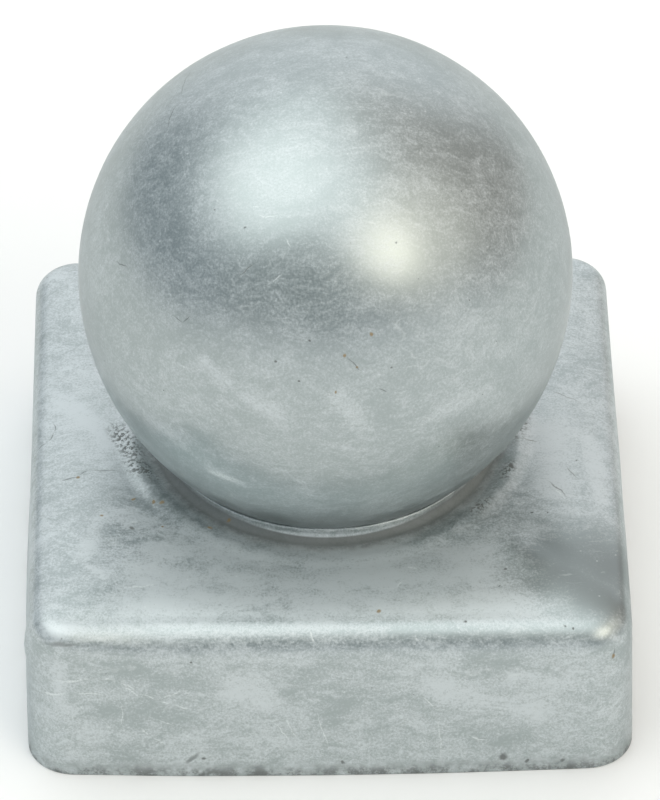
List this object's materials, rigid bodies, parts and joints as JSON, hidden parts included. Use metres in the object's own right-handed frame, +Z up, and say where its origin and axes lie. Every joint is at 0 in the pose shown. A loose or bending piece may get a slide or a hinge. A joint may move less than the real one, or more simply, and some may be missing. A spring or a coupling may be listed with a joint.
{
  "type": "ball post cap",
  "caption": "Square pan-shaped metal cap that drops over the top of a timber post, with a hollow ball seated in a low round collar on its crown.",
  "frame": {"origin": "middle of the square, on the plane of the skirt's lower rim", "axes": "+Z up through the ball, X and Y square to the sides, -Y the front in the picture"},
  "size_m": [0.097, 0.097, 0.1008],
  "materials": {
    "zinc_coat": "hot-dip galvanised steel, mottled satin grey"
  },
  "bodies": {
    "root": {"cap": "zinc_coat", "ball": "zinc_coat"}
  },
  "joints": []
}
